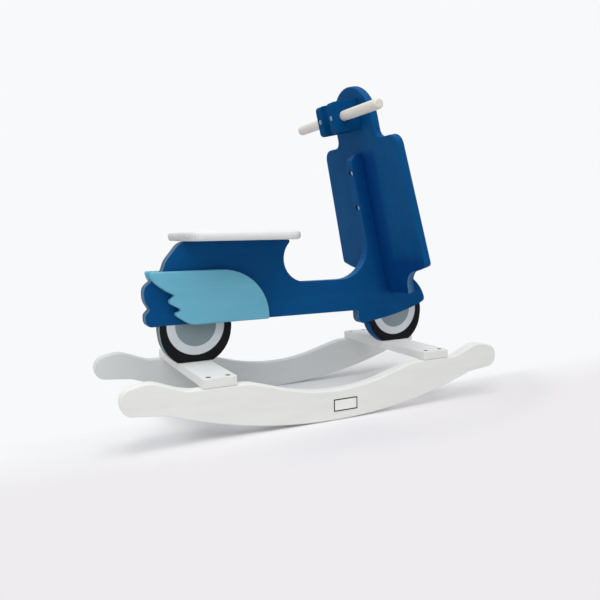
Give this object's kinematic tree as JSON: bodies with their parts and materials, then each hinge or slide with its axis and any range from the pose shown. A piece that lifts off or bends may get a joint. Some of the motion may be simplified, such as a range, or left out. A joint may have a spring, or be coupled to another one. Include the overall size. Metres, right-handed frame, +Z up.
{
  "type": "rocking scooter",
  "caption": "Toddler's wooden rocking toy shaped as a scooter, with a seat, footboard, leaning front shield and dowel handlebar on curved rockers.",
  "frame": {"origin": "on the floor under the middle of the object's box, where the rockers touch", "axes": "+X towards the front, +Y to the rider's left, +Z up"},
  "size_m": [0.744, 0.31, 0.6267],
  "materials": {
    "blue_paint": "satin blue paint on board",
    "light_blue_paint": "satin light blue paint on board",
    "white_paint": "satin white paint on board",
    "cream_lacquer": "pale satin lacquer on a dowel",
    "beech": "bare dowel",
    "dark_steel": "blackened",
    "bright_steel": "zinc plated"
  },
  "bodies": {
    "root": {"bar_screw_front_left_a": "dark_steel", "bar_screw_front_left_b": "dark_steel", "bar_screw_front_right_a": "dark_steel", "bar_screw_front_right_b": "dark_steel", "bar_screw_rear_left_a": "dark_steel", "bar_screw_rear_left_b": "dark_steel", "bar_screw_rear_right_a": "dark_steel", "bar_screw_rear_right_b": "dark_steel", "block_screw_left_a": "dark_steel", "block_screw_left_b": "dark_steel", "block_screw_right_a": "dark_steel", "block_screw_right_b": "dark_steel", "body_panel": "blue_paint", "body_screw_front_a": "dark_steel", "body_screw_front_b": "dark_steel", "body_screw_rear_a": "dark_steel", "body_screw_rear_b": "dark_steel", "crossbar_front": "white_paint", "crossbar_rear": "white_paint", "front_shield": "blue_paint", "handle_bar": "cream_lacquer", "handle_block_left": "blue_paint", "handle_block_right": "blue_paint", "pin_screw_left": "bright_steel", "pin_screw_right": "bright_steel", "rocker_left": "white_paint", "rocker_right": "white_paint", "seat_board": "white_paint", "seat_dowel_1": "beech", "seat_dowel_2": "beech", "seat_dowel_3": "beech", "spine_bolt_1": "bright_steel", "spine_bolt_2": "bright_steel", "spine_nut_1": "dark_steel", "spine_nut_2": "dark_steel", "wing_panel_left": "light_blue_paint", "wing_panel_right": "light_blue_paint"}
  },
  "joints": []
}
